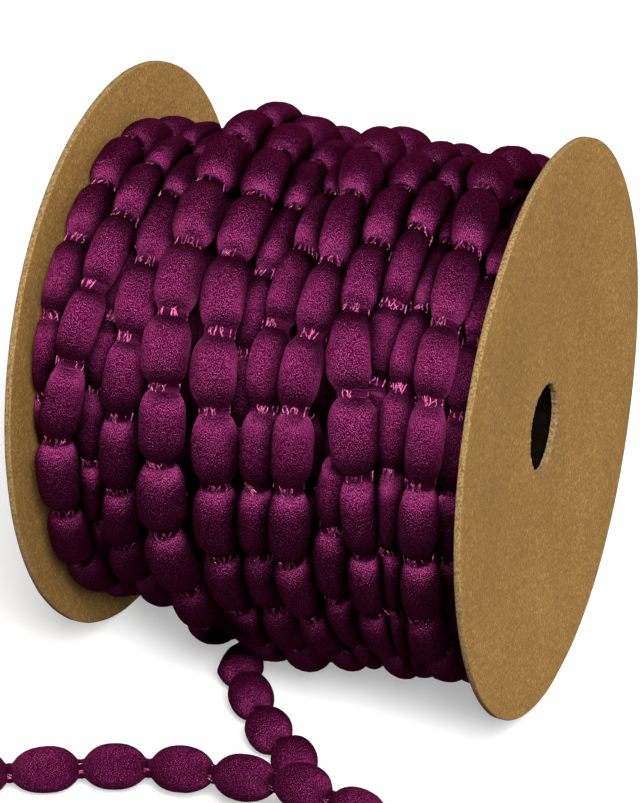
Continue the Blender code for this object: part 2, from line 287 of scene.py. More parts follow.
def straight_up(centre):
    """The outward direction of string that lies on the ground."""
    return np.tile(np.array([0.0, 0.0, 1.0]), (len(centre), 1))


def away_from_axle(centre):
    """The outward direction of string on the spool."""
    out = centre - np.array([0.0, 0.0, AXLE_HEIGHT])
    out[:, 0] = 0.0
    return out


class Strand:
    """One run of string as a net of rings; a calm one lies on the ground, the rest are wound."""

    def __init__(self, name, path, necks, closed=True, fine=True, calm=False, width=1.0):
        """path(angles) gives the middle line's points on the ground, in millimetres."""
        self.name = name
        self.closed = closed
        self.sides = FINE_SIDES if fine else COARSE_SIDES
        half = np.array(FINE_RINGS if fine else COARSE_RINGS)
        share = np.concatenate([half / 2, 1.0 - half[-2:0:-1] / 2])
        count = len(necks) - 1
        self.rings_each = len(share)
        grid = necks[:-1, None] + (necks[1:] - necks[:-1])[:, None] * share[None, :]
        stations = grid.ravel()
        from_neck = np.tile(np.minimum(share, 1 - share) * 2, count)
        if not closed:
            stations = np.append(stations, necks[-1])
            from_neck = np.append(from_neck, 0.0)
        step = (necks[1] - necks[0]) * SLOPE_STEP
        centre = path(stations)
        along = unit(path(stations + step) - path(stations - step))
        out = straight_up(centre) if calm else away_from_axle(centre)
        out = unit(out - along * np.sum(out * along, axis=1, keepdims=True))
        side = np.cross(along, out)
        bobble = np.minimum(np.arange(len(stations)) // self.rings_each, count - 1)
        wild = LOOSE_WILDNESS if calm else 1.0
        fatness = LOOSE_FATNESS if calm else 1.0
        fullness = LOOSE_FULLNESS if calm else FULLNESS
        fat = BOBBLE_RADIUS * fatness * (1.0 + wild * rng.normal(0.0, FAT_SPREAD, count))
        full = fullness + np.clip(wild * rng.normal(0.0, FULL_SPREAD, count), *FULL_LIMITS)
        self.neck = LOOSE_NECK_RADIUS if calm else NECK_RADIUS
        drop = wild * rng.normal(0.0, DROP_SPREAD, count)
        shift = wild * rng.normal(0.0, SHIFT_SPREAD, count)
        hump = 1.0 - (1.0 - from_neck) ** HUMP_POWER
        centre = centre + out * (hump * drop[bobble] - NECK_DIP * (1 - hump))[:, None]
        centre = centre + side * (hump * shift[bobble])[:, None]
        radius = profile(from_neck, fat[bobble], full[bobble], self.neck)
        turn = np.linspace(0.0, 2 * math.pi, self.sides, endpoint=False)
        lumps = np.zeros((len(stations), self.sides))
        for waves, size in LUMPS:
            phase = rng.uniform(0, 2 * math.pi, count)[bobble]
            tilt = rng.uniform(-LUMP_TWIST, LUMP_TWIST, count)[bobble] * from_neck
            lumps += size * np.cos(waves * turn[None, :] + (phase + tilt)[:, None])
        ring = radius[:, None] * (1.0 + lumps * hump[:, None])
        self.points = (
            centre[:, None, :]
            + out[:, None, :] * (ring * np.cos(turn))[:, :, None]
            + side[:, None, :] * (ring * width * np.sin(turn))[:, :, None]
        )
        self.centre, self.out, self.along, self.side = centre, out, along, side
        self.girth = radius
        self.width = width
        self.valley = np.zeros(self.points.shape[:2])
        self.gather = np.clip(1.0 - (from_neck - NECK_SHARE) / GATHER_REACH, 0.0, 1.0)
        # painted shade: the cover is darkened in the notch at each neck
        self.collar = np.clip(PAINTED_NECK_SHADE_REACH - from_neck / NECK_SHARE, 0.0, 1.0)
        starts = np.arange(count) * self.rings_each
        self.neck_rings = starts if closed else np.append(starts, len(stations) - 1)
        steps = np.linalg.norm(np.diff(centre, axis=0, append=centre[:1]), axis=1)
        self.length = np.concatenate([[0.0], np.cumsum(steps)])

    def reach_towards(self, way, rows=slice(None)):
        """How far the string reaches from its middle line in the direction way."""
        sideways = np.abs(np.sum(self.side[rows] * way, axis=1))
        return self.girth[rows] * np.sqrt(1.0 - sideways**2 * (1.0 - self.width**2))


def press_together(strands, room=0.05):
    """Where two turns lie closer than their girths, each is squeezed, like soft padding, and the crease
    between them gets painted shade.
    """
    start = np.array(LOOSE_START)
    pushes = []
    for one in strands:
        for other in strands:
            apart = other.centre[None, :, :] - one.centre[:, None, :]
            far = np.linalg.norm(apart, axis=2) - other.girth[None, :]
            rows = np.arange(len(far))
            if one is other:
                step = np.abs(rows[:, None] - rows[None, :])
                step = np.minimum(step, len(rows) - step) if one.closed else step
                far[step < 2 * one.rings_each] = NO_CONTACT
            elif not (one.closed and other.closed):
                one_near = np.linalg.norm(one.centre - start, axis=1) < START_REACH
                other_near = np.linalg.norm(other.centre - start, axis=1) < START_REACH
                far[one_near[:, None] & other_near[None, :]] = NO_CONTACT
            nearest = np.argmin(far, axis=1)
            if np.min(far[rows, nearest] - one.girth) > room:
                continue
            way = apart[rows, nearest]
            way = way - one.along * np.sum(way * one.along, axis=1, keepdims=True)
            length = np.maximum(np.linalg.norm(way, axis=1), LEAST_APART)
            straight = way / length[:, None]
            wanted = one.reach_towards(straight) + other.reach_towards(straight, nearest) + room
            facing = np.einsum("ijk,ik->ij", unit(one.points - one.centre[:, None, :]), straight)
            out_of_reach = far[rows, nearest] > TOO_FAR
            close = np.clip(1.0 - (length - wanted) / PAINTED_CREASE_WIDTH, 0.0, 1.0)
            close[out_of_reach] = 0.0
            # painted shade: where a ring faces a near neighbour, its cover is darkened
            painted_crease = np.clip((facing - PAINTED_CREASE_FACING) / PAINTED_CREASE_EDGE, 0.0, 1.0) * close[:, None]
            one.valley = np.maximum(one.valley, painted_crease)
            keep = np.clip(length / wanted, LEAST_KEPT, 1.0)
            keep[out_of_reach] = 1.0
            pushes.append((one, straight, keep))
    for strand, way, keep in pushes:
        squeeze(strand, way, keep)


def squeeze(strand, way, keep):
    """Draws in the half of each ring that faces this way, and lets it swell a little across."""
    offset = strand.points - strand.centre[:, None, :]
    run = np.einsum("ijk,ik->ij", offset, way)
    facing = np.maximum(run, 0.0) * (1.0 - keep)[:, None]
    across = offset - run[:, :, None] * way[:, None, :]
    swell = SWELL * (1.0 - keep)[:, None, None]
    strand.points = strand.points - facing[:, :, None] * way[:, None, :] + across * swell


def hold_between_cards(strand, room=0.12):
    """Squeezes the string where it meets the flanges' inner faces."""
    axle = np.tile(np.array([1.0, 0.0, 0.0]), (len(strand.centre), 1))
    for side in (-1, 1):
        high = strand.centre[:, 2] - AXLE_HEIGHT
        radius = np.hypot(strand.centre[:, 1], high)
        place = side * (strand.centre[:, 0] + high * math.tan(LEAN))
        free = card_inner_x(radius, side) - room - place
        squeeze(strand, side * axle, np.clip(free / strand.girth, LEAST_KEPT_BY_CARD, 1.0))
    points = strand.points
    high = points[..., 2] - AXLE_HEIGHT
    radius = np.hypot(points[..., 1], high)
    upright_x = points[..., 0] + high * math.tan(LEAN)
    kept = np.clip(upright_x, room - card_inner_x(radius, -1), card_inner_x(radius) - room)
    points[..., 0] += kept - upright_x


def settle_on_ground(strand, room=0.02):
    """Flattens the string where it lies."""
    strand.points[..., 2] = np.maximum(strand.points[..., 2], room)


def net_faces(here, there, j, beside):
    """The faces between the rows of points that start at here and at there."""
    return np.stack([here + j, here + beside, there + beside, there + j], -1).reshape(-1, 4)


def map_corners(u0, u1, v0, v1):
    """Those faces' corners in the string's map, u along it and v round it."""
    corners = [np.stack(corner, -1) for corner in ((u0, v0), (u0, v1), (u1, v1), (u1, v0))]
    return np.stack(corners, -2).reshape(-1, 2)


MAP_SCALE = 10.0  # millimetres to one unit of the string's map
MAP_SHIFT = 400


def strand_mesh(name, strands, look):
    """Joins runs of string into one piece, with a map of lengths along and round them."""
    verts, faces, uvs, painted_neck_shades, gathers, painted_crease_shades = [], [], [], [], [], []
    offset = 0
    for strand in strands:
        rings, sides = strand.points.shape[:2]
        verts.append(strand.points.reshape(-1, 3))
        painted_neck_shades.append(np.repeat(strand.collar, sides))
        gathers.append(np.repeat(strand.gather, sides))
        painted_crease_shades.append(strand.valley.ravel())
        last = rings if strand.closed else rings - 1
        i = np.arange(last)[:, None]
        j = np.arange(sides)[None, :]
        there = (i + 1) % rings * sides
        faces.append(net_faces(i * sides, there, j, (j + 1) % sides) + offset)
        girth = 2 * math.pi * BOBBLE_RADIUS
        along = strand.length + rng.uniform(0, MAP_SHIFT)
        u0, u1 = along[i] + 0 * j, along[i + 1] + 0 * j
        v0, v1 = j / sides * girth + 0 * i, (j + 1) / sides * girth + 0 * i
        uvs.append(map_corners(u0, u1, v0, v1) / MAP_SCALE)
        base = offset
        offset += rings * sides
        if not strand.closed:
            around = np.arange(sides)
            next_one = (around + 1) % sides
            for row, one, two in ((0, next_one, around), (rings - 1, around, next_one)):
                start = base + row * sides
                tip = np.full(sides, offset)
                verts.append(strand.points[row].mean(0)[None])
                faces.append(np.stack([start + one, start + two, tip, tip], -1))
                uvs.append(np.zeros((sides * 4, 2)))
                painted_neck_shades.append(np.ones(1))
                gathers.append(np.ones(1))
                painted_crease_shades.append(np.zeros(1))
                offset += 1
    verts, faces, uvs = np.concatenate(verts) * MM, np.concatenate(faces), np.concatenate(uvs)
    made = build_mesh(name, verts, faces, uvs, look)
    mark(made, "collar", np.concatenate(painted_neck_shades))
    mark(made, "gather", np.concatenate(gathers))
    mark(made, "valley", np.concatenate(painted_crease_shades))
    return made


def mark(made, name, values):
    """Gives each point of a mesh a number that its material reads."""
    layer = made.data.attributes.new(name, "FLOAT", "POINT")
    layer.data.foreach_set("value", np.asarray(values, np.float32))


def build_mesh(name, verts, faces, uvs, look):
    """A mesh object from arrays; a face whose last corner repeats is a triangle."""
    is_triangle = faces[:, 2] == faces[:, 3]
    sizes = np.where(is_triangle, 3, 4)
    keep = np.ones(faces.shape, bool)
    keep[is_triangle, 3] = False
    corners = faces[keep]
    mesh = bpy.data.meshes.new(name)
    mesh.vertices.add(len(verts))
    mesh.vertices.foreach_set("co", verts.astype(np.float32).ravel())
    mesh.loops.add(len(corners))
    mesh.loops.foreach_set("vertex_index", corners.astype(np.int32))
    starts = np.concatenate([[0], np.cumsum(sizes)[:-1]])
    mesh.polygons.add(len(faces))
    mesh.polygons.foreach_set("loop_start", starts.astype(np.int32))
    mesh.polygons.foreach_set("loop_total", sizes.astype(np.int32))
    if uvs is not None:
        layer = mesh.uv_layers.new(name="string")
        layer.data.foreach_set("uv", uvs.reshape(faces.shape + (2,))[keep].astype(np.float32).ravel())
    mesh.update(calc_edges=True)
    mesh.validate()
    mesh.shade_smooth()
    mesh.materials.append(look)
    made = bpy.data.objects.new(name, mesh)
    bpy.context.scene.collection.objects.link(made)
    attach(made, BODY)
    return made


# -------- the threads at the necks

OUTER_THREADS = 11  # over each neck
BELOW_THREADS = 6
LOOSE_THREADS = 5
THREAD_RADIUS = 0.12
THREAD_END = 0.35  # a thread's end, as a share of its radius
THREAD_STEPS = 8
THREAD_SIDES = 4
THREAD_SIDE = np.array([0.15, -0.90, 0.40])  # where the loose end's threads lie
THREAD_SPREAD = 0.45
LOOSE_SPREAD = 0.4
STRAY_EVERY = 5
STRAY_TURNS = (1.2, 5.0)
THREAD_REACHES = (0.55, 1.0)
LOOSE_REACHES = (0.4, 0.6)
THREAD_LEAN = 0.09
THREAD_LIFT = 0.05
THREAD_FULLNESS = 2.75
HALF_BOBBLE = 6.0

# The threads' kinds: each ends at its share of all threads, and has sizes of its own.
BOWED, LOOPED, WAVY = 0.25, 0.40, 0.55
BOW = 0.10
LOOP_REACH = 0.9
LOOP_TURN = 0.16
LOOP_LIFT = 0.15
WAVE_ALONG = 0.12
WAVE_ALONG_PACE = 7.0
WAVE_ROUND = 0.06
WAVE_ROUND_PACE = 6.0


def neck_threads(name, strands, each, look):
    """Short gathered threads over every neck, some of them in small loops."""
    lines = []
    for strand in strands:
        for ring in strand.neck_rings:
            for k in range(each):
                stray = k % STRAY_EVERY == 0
                turn = rng.uniform(*STRAY_TURNS) if stray else rng.normal(0.0, THREAD_SPREAD)
                if strand.name == "loose":
                    across = np.dot(strand.side[ring], THREAD_SIDE)
                    towards = math.atan2(across, np.dot(strand.out[ring], THREAD_SIDE))
                    turn = towards + LOOSE_SPREAD * turn
                lines.append(thread_line(strand, ring, turn))
    return tubes(name, np.array(lines), look)


def thread_line(strand, ring, turn):
    """One thread across a neck, close to the string, as points in millimetres."""
    calm = strand.name == "loose"
    reach = rng.uniform(*(LOOSE_REACHES if calm else THREAD_REACHES))
    part = np.linspace(-1.0, 1.0, THREAD_STEPS + 1)
    at = part * reach
    angle = turn + rng.normal(0.0, THREAD_LEAN) * part
    lift = np.full(len(at), THREAD_LIFT)
    kind = rng.random()
    if kind < BOWED:
        angle = angle + rng.choice([-1, 1]) * BOW * np.sin(part * math.pi)
    elif kind < LOOPED and not calm:
        at = reach * LOOP_REACH * np.sin(part * math.pi * 0.5)
        angle = angle + rng.choice([-1, 1]) * LOOP_TURN * np.cos(part * math.pi * 0.5)
        lift = lift + LOOP_LIFT * np.cos(part * math.pi * 0.5)
    elif kind < WAVY and not calm:
        at = at + WAVE_ALONG * np.sin(part * WAVE_ALONG_PACE)
        angle = angle + WAVE_ROUND * np.sin(part * WAVE_ROUND_PACE)
    from_neck = np.abs(at) / HALF_BOBBLE
    height = profile(from_neck, BOBBLE_RADIUS, THREAD_FULLNESS, strand.neck) + lift
    centre, along = strand.centre[ring], strand.along[ring]
    out, side = strand.out[ring], strand.side[ring]
    return (
        centre
        + along * at[:, None]
        + out * (height * np.cos(angle))[:, None]
        + side * (height * np.sin(angle))[:, None]
    )


UPRIGHT = 0.9  # a thread steeper than this turns round X instead of Z
THREAD_MAP_SHIFT = 50
THREAD_MAP_WIDTH = 0.1


def tubes(name, lines, look):
    """The threads as thin four-sided tubes in one mesh, narrower and closed at their ends."""
    count, steps = lines.shape[:2]
    sides = THREAD_SIDES
    along = unit(np.gradient(lines, axis=1))
    helper = np.where(np.abs(along[..., 2:3]) < UPRIGHT, [[[0.0, 0.0, 1.0]]], [[[1.0, 0.0, 0.0]]])
    one = unit(np.cross(along, helper))
    two = np.cross(along, one)
    turn = np.linspace(0, 2 * math.pi, sides, endpoint=False)
    size = np.full(steps, THREAD_RADIUS)
    size[0] = size[-1] = THREAD_RADIUS * THREAD_END
    ring = size[None, :, None, None]
    points = (
        lines[:, :, None, :]
        + one[:, :, None, :] * np.cos(turn)[None, None, :, None] * ring
        + two[:, :, None, :] * np.sin(turn)[None, None, :, None] * ring
    )
    starts = (np.arange(count) * steps * sides)[:, None]
    here = starts[:, :, None] + (np.arange(steps - 1) * sides)[None, :, None]
    j = np.arange(sides)[None, None, :]
    quads = net_faces(here, here + sides, j, (j + 1) % sides)
    first = starts + np.arange(sides)[::-1][None, :]
    last = starts + (steps - 1) * sides + np.arange(sides)[None, :]
    faces = np.concatenate([quads, first, last])
    uvs = np.zeros((len(faces) * 4, 2))
    run = np.broadcast_to((np.arange(steps - 1) / steps)[None, :, None], (count, steps - 1, sides))
    u0 = run + (rng.uniform(0, THREAD_MAP_SHIFT, count)[:, None, None] + 0 * run)
    v0 = 0 * run
    uvs[: len(quads) * 4] = map_corners(u0, u0 + 1 / steps, v0, v0 + THREAD_MAP_WIDTH)
    return build_mesh(name, points.reshape(-1, 3) * MM, faces, uvs, look)


# -------- materials

class Nodes:
    """Short ways to add and join a material's nodes."""

    def __init__(self, name):
        self.material = bpy.data.materials.new(name)
        self.material.use_nodes = True
        self.tree = self.material.node_tree
        self.shader = self.tree.nodes["Principled BSDF"]

    def add(self, kind, inputs=None, **settings):
        node = self.tree.nodes.new(kind)
        for key, value in settings.items():
            setattr(node, key, value)
        for key, value in (inputs or {}).items():
            self.feed(node.inputs[key], value)
        return node

    def feed(self, socket, value):
        if isinstance(value, bpy.types.NodeSocket):
            self.tree.links.new(value, socket)
        else:
            socket.default_value = value

    def set(self, **values):
        for key, value in values.items():
            self.feed(self.shader.inputs[key.replace("_", " ")], value)

    def noise(self, vector, scales, detail, rough=0.5, **settings):
        place = self.add("ShaderNodeMapping", {"Vector": vector, "Scale": scales}).outputs[0]
        inputs = {"Vector": place, "Scale": 1.0, "Detail": detail, "Roughness": rough}
        return self.add("ShaderNodeTexNoise", inputs, **settings).outputs[0]

    def flat_noise(self, vector, scales, detail, rough=0.5):
        return self.noise(vector, scales, detail, rough, noise_dimensions="2D")

    def attribute(self, name):
        return self.add("ShaderNodeAttribute", attribute_name=name).outputs["Fac"]

    def string_map(self):
        return self.add("ShaderNodeUVMap", uv_map="string").outputs[0]

    def string_tangent(self):
        return self.add("ShaderNodeTangent", direction_type="UV_MAP", uv_map="string").outputs[0]

    def object_place(self):
        return self.add("ShaderNodeTexCoord").outputs["Object"]

    def maths(self, operation, *values):
        node = self.add("ShaderNodeMath", operation=operation)
        for socket, value in zip(node.inputs, values):
            self.feed(socket, value)
        return node.outputs[0]

    def ramp(self, value, low, high):
        node = self.add("ShaderNodeMapRange", {"Value": value, "From Min": low, "From Max": high})
        return node.outputs[0]

    def mix(self, share, one, two):
        node = self.add("ShaderNodeMix", data_type="RGBA")
        self.feed(node.inputs[0], share)
        self.feed(node.inputs[6], one)
        self.feed(node.inputs[7], two)
        return node.outputs[2]

    def partly(self, value, share, one, two):
        """From colour one towards colour two by this share of the value."""
        return self.mix(self.maths("MULTIPLY", value, share), one, two)

    def bump(self, height, strength, distance):
        inputs = {"Height": height, "Strength": strength, "Distance": distance}
        return self.add("ShaderNodeBump", inputs).outputs[0]


SATIN = (0.104, 0.0020, 0.039, 1.0)
SATIN_LIGHT = (0.52, 0.085, 0.29, 1.0)
SATIN_DARK = (0.054, 0.0006, 0.020, 1.0)
SATIN_SHADE = (0.006, 0.0006, 0.003, 1.0)
SATIN_QUIET_PAINTED_SHADE = (0.062, 0.0012, 0.025, 1.0)
SATIN_TINT = (0.36, 0.04, 0.19, 1.0)
PAINTED_NECK_SHADE = (0.040, 0.002, 0.017, 1.0)

# The satin's pattern: steps along and round the string, in its map, then each part's share.
SATIN_GRAIN = (50.0, 104.0, 1.0)
SATIN_SPECK = (42.0, 92.0, 1.0)
SATIN_HAIRS = (8.0, 68.0, 1.0)
SATIN_PATCHES = (3.0, 3.0, 1.0)
SPECK_FROM = 0.590
SPECK_TO = 0.67
SPECK_MORE_AT_NECKS = -0.11
HAIRS_SHARE = 0.30
PATCHES_SHARE = 0.25
PAINTED_NECK_SHADE_SHARE = 0.85
PAINTED_CREASE_SHARE = 0.9
HAIRS_HEIGHT = 1.3
SPECK_HEIGHT = 1.6


def satin(name, painted_shade=0.0, calm=0.0, anisotropic=0.85):
    """The bobbles' cover: fine shiny filaments along the string, in tiny loops that glitter; painted
    shade darkens its creases, its necks and the copies for the lower layers and the loose end.
    """
    made = Nodes(name)
    place = made.string_map()
    grain = made.flat_noise(place, SATIN_GRAIN, 1.0)
    speck = made.flat_noise(place, SATIN_SPECK, 0.0)
    hairs = made.flat_noise(place, SATIN_HAIRS, 1.0)
    patches = made.flat_noise(place, SATIN_PATCHES, 2.0)
    colour = made.mix(made.ramp(grain, 0.33, 0.63), SATIN_DARK, SATIN)
    rare = made.maths("MULTIPLY_ADD", made.attribute("gather"), SPECK_MORE_AT_NECKS, SPECK_FROM)
    colour = made.mix(made.ramp(speck, rare, SPECK_TO), colour, SATIN_LIGHT)
    colour = made.partly(made.ramp(hairs, 0.62, 0.35), HAIRS_SHARE, colour, SATIN_DARK)
    colour = made.partly(made.ramp(patches, 0.35, 0.65), PATCHES_SHARE, colour, SATIN_DARK)
    # painted shade in the notch at each neck, where two bobbles meet
    colour = made.partly(made.attribute("collar"), PAINTED_NECK_SHADE_SHARE, colour, PAINTED_NECK_SHADE)
    # painted shade in the creases where turns press together
    colour = made.partly(made.attribute("valley"), PAINTED_CREASE_SHARE, colour, SATIN_SHADE)
    # painted shade: the lower layers get a copy of the satin darkened towards SATIN_SHADE
    if painted_shade:
        colour = made.mix(painted_shade, colour, SATIN_SHADE)
    # painted shade: the loose end's copy is darkened and flattened towards a quieter tone
    if calm:
        colour = made.mix(calm, colour, SATIN_QUIET_PAINTED_SHADE)
    height = made.maths("MULTIPLY_ADD", speck, SPECK_HEIGHT, grain)
    height = made.maths("MULTIPLY_ADD", hairs, HAIRS_HEIGHT, height)
    made.set(Base_Color=colour, Normal=made.bump(height, 0.7, 0.00015), Tangent=made.string_tangent())
    made.set(Metallic=0.98, Roughness=0.58, Anisotropic=anisotropic, Anisotropic_Rotation=0.25)
    made.set(Specular_Tint=SATIN_TINT)
    return made.material


THREAD_PINK = (0.52, 0.13, 0.29, 1.0)
THREAD_DEEP = (0.30, 0.02, 0.14, 1.0)
THREAD_PATCHES = (2.0, 1.0, 1.0)


def thread_satin(name):
    """The bare threads at the necks, smoother and shinier than the bobbles."""
    made = Nodes(name)
    shade = made.flat_noise(made.string_map(), THREAD_PATCHES, 2.0, 0.6)
    colour = made.mix(made.ramp(shade, 0.35, 0.6), THREAD_DEEP, THREAD_PINK)
    made.set(Base_Color=colour, Tangent=made.string_tangent(), Metallic=1.0, Roughness=0.55)
    made.set(Anisotropic=0.6, Anisotropic_Rotation=0.25)
    return made.material


KRAFT = (0.300, 0.161, 0.040, 1.0)
KRAFT_DARK = (0.145, 0.071, 0.016, 1.0)
KRAFT_LIGHT = (0.52, 0.32, 0.110, 1.0)
KRAFT_EDGE = (0.34, 0.215, 0.085, 1.0)
CARD_CUT = (0.11, 0.064, 0.025, 1.0)
TORN_CARD = (0.125, 0.084, 0.046, 1.0)
# painted shade: the tube is near black so that the hole through the spool reads dark
TUBE_PAINTED_SHADE = (0.002, 0.0015, 0.001, 1.0)
TUBE_PAINTED_SHADE_FIBRE = (0.005, 0.004, 0.003, 1.0)

# The card's pattern: steps to a metre in X, Y and Z, then each part's share.
KRAFT_GRAIN = (2900.0, 2900.0, 2700.0)
KRAFT_FIBRE = (2300.0, 2300.0, 1500.0)
KRAFT_CROSS = (500.0, 330.0, 1400.0)
KRAFT_CLOUD = (90.0, 90.0, 55.0)
TUBE_GRAIN = (500.0, 1500.0, 1500.0)
FIBRE_SHARE = 0.6
CROSS_SHARE = 0.35
CLOUD_SHARE = 0.24
FIBRE_HEIGHT = 0.8


def kraft(name):
    """Brown card with fine mixed fibres; its cut edges have a grain of their own."""
    made = Nodes(name)
    place = made.object_place()
    grain = made.noise(place, KRAFT_GRAIN, 2.0, 0.7)
    fibre = made.noise(place, KRAFT_FIBRE, 2.0, 0.6)
    cross = made.noise(place, KRAFT_CROSS, 2.0)
    cloud = made.noise(place, KRAFT_CLOUD, 3.0)
    colour = made.mix(made.ramp(grain, 0.32, 0.68), KRAFT_DARK, KRAFT)
    colour = made.partly(made.ramp(fibre, 0.51, 0.73), FIBRE_SHARE, colour, KRAFT_LIGHT)
    colour = made.partly(made.ramp(cross, 0.50, 0.72), CROSS_SHARE, colour, KRAFT_DARK)
    colour = made.partly(made.ramp(cloud, 0.40, 0.70), CLOUD_SHARE, colour, KRAFT_DARK)
    edge = made.mix(made.ramp(grain, 0.35, 0.65), CARD_CUT, KRAFT_EDGE)
    colour = made.mix(made.attribute("cut"), colour, edge)
    colour = made.partly(made.attribute("torn"), made.ramp(cross, 0.42, 0.58), colour, TORN_CARD)
    height = made.maths("ADD", grain, made.maths("MULTIPLY", fibre, FIBRE_HEIGHT))
    made.set(Base_Color=colour, Normal=made.bump(height, 0.35, 0.0001), Roughness=0.85)
    made.set(Specular_IOR_Level=0.2)
    return made.material


def tube_card(name):
    """The tube that the string is wound on, coloured near black as painted shade for the dark inside of
    the hole.
    """
    made = Nodes(name)
    fibre = made.noise(made.object_place(), TUBE_GRAIN, 2.0, 0.6)
    colour = made.mix(made.ramp(fibre, 0.3, 0.8), TUBE_PAINTED_SHADE, TUBE_PAINTED_SHADE_FIBRE)
    made.set(Base_Color=colour, Roughness=0.95, Specular_IOR_Level=0.0)
    return made.material


# -------- the card spool

FLANGE_STEPS = 320
FACE_RADII = (
    7.62, 7.74, 7.9, 8.1, 8.35, 8.65, 9.0, 9.5, 10.2, 11.2, 12.6, 14.4, 16.5, 19.5, 23.0, 27.0,
    31.0, 35.0, 39.0, 42.5, 45.5, 47.8, 49.2, 49.7, 49.86,
)
EDGE_ROUNDING = 0.13
WALL_STEPS = (0.4, 0.7)  # rows of points down the rim, and down the hole
HOLE_STEPS = (0.8, 0.5)
CORE_RADIUS = 11.0
CORE_WALL = 1.8
CORE_STEPS = 96
CORE_ENDS_ROOM = 0.3
CORE_BEVEL = 0.1

# Waves round the card: how many there are, and how high. They lie round its rim, round its
# hole, over all of it, and along the torn lip of the hole.
RIM_WAVES = ((2, 0.05), (3, 0.05), (5, 0.04), (9, 0.03), (17, 0.02), (41, 0.015))
HOLE_WAVES = ((2, 0.10), (3, 0.10), (5, 0.06), (9, 0.05), (16, 0.05), (29, 0.04), (53, 0.03))
SWAY_WAVES = ((2, 0.12), (3, 0.07), (4, 0.05))
LIP_WAVES = ((1, 0.5), (3, 0.4), (7, 0.3), (13, 0.3), (31, 0.2))
RIPPLE_WAVES = ((11, 0.3), (23, 0.4), (47, 0.4), (71, 0.4))
RIM_WAVES_FROM = 44.0
RIM_WAVES_REACH = 6.0
HOLE_WAVES_TO = 9.6
HOLE_WAVES_REACH = 2.1
HOLE_WAVES_POWER = 1.5
SWAY = 0.6
LIP_BASE = 0.4
LIP_MOST = 1.2
LIP_RADIUS = 8.3
LIP_WIDTH = 0.45
LIP_HEIGHT = 0.16
LIP_RIPPLE = 0.10
HOLE_RIPPLE = 0.12
OVER_RIM = 0.3  # how far the lip may stand past the rim's plane
TORN_RADIUS = 7.8
TORN_WIDTH = 0.6
TORN_BASE = 0.4


def make_flange(name, side, look):
    """One dished card disc, torn a little round its hole; side is -1 for the left, 1 for the right."""
    turn = np.linspace(0.0, 2 * math.pi, FLANGE_STEPS, endpoint=False)
    outer = [(radius, 0.0, 0.0) for radius in FACE_RADII]
    inner = [(radius, CARD, 0.0) for radius in FACE_RADII]
    far_edge = CARD - EDGE_ROUNDING
    rim = [(FLANGE_RADIUS, depth, 1.0) for depth in (EDGE_ROUNDING, *WALL_STEPS, far_edge)]
    hole = [(HOLE_RADIUS, depth, 1.0) for depth in (far_edge, *HOLE_STEPS, EDGE_ROUNDING)]
    radius, inwards, cut = np.array(outer + rim + inner[::-1] + hole).T
    radius = radius[:, None] + 0 * turn
    inwards = inwards[:, None] + 0 * turn
    rim_share = np.clip((radius - RIM_WAVES_FROM) / RIM_WAVES_REACH, 0.0, 1.0)
    hole_share = np.clip((HOLE_WAVES_TO - radius) / HOLE_WAVES_REACH, 0.0, 1.0) ** HOLE_WAVES_POWER
    rim_waves = np.minimum(bumpy_ring(turn, RIM_WAVES), 0.0)
    hole_waves = bumpy_ring(turn, HOLE_WAVES)
    sway = bumpy_ring(turn, SWAY_WAVES)
    lip = np.clip(bumpy_ring(turn, LIP_WAVES) + LIP_BASE, 0.0, LIP_MOST)
    ripple = bumpy_ring(turn, RIPPLE_WAVES)
    radius = radius + rim_share * rim_waves + hole_share * hole_waves
    on_outside = (inwards < CARD / 2).astype(float)
    at_lip = on_outside * np.exp(-(((radius - LIP_RADIUS) / LIP_WIDTH) ** 2))
    lift = at_lip * (LIP_HEIGHT * lip + LIP_RIPPLE * ripple * lip)
    lift = lift + 0.5 * hole_share * HOLE_RIPPLE * ripple * on_outside
    swayed = sway * (radius / FLANGE_RADIUS) ** 2 * SWAY
    x = SPOOL_WIDTH / 2 - dish(radius) + bulge(radius, side) - inwards + swayed
    x = np.minimum(x + lift, SPOOL_WIDTH / 2 + OVER_RIM)
    at_tear = on_outside * np.exp(-(((radius - TORN_RADIUS) / TORN_WIDTH) ** 2))
    torn = at_tear * np.clip(lip + TORN_BASE, 0.0, 1.0)
    points = np.stack([side * x, -radius * np.cos(turn), radius * np.sin(turn)], -1)
    points = spool_to_ground(points)
    points[..., 2] = np.maximum(points[..., 2], 0.0)
    made = ring_mesh(name, points, look, flip=side < 0)
    mark(made, "cut", np.repeat(cut, FLANGE_STEPS))
    mark(made, "torn", torn.ravel())
    return made


def bumpy_ring(turn, waves):
    """A value round a ring, made of a few waves with places of their own."""
    total = np.zeros(len(turn))
    for count, size in waves:
        total += size * np.cos(count * turn + rng.uniform(0, 2 * math.pi))
    return total


def ring_mesh(name, points, look, flip=False):
    """A closed ring of rows and steps as one mesh."""
    rows, steps = points.shape[:2]
    i = np.arange(rows)[:, None]
    j = np.arange(steps)[None, :]
    after, beside = (i + 1) % rows, (j + 1) % steps
    here, there = i * steps, after * steps
    quad = np.stack([here + j, there + j, there + beside, here + beside], -1).reshape(-1, 4)
    if flip:
        quad = quad[:, ::-1]
    return build_mesh(name, points.reshape(-1, 3) * MM, quad, None, look)


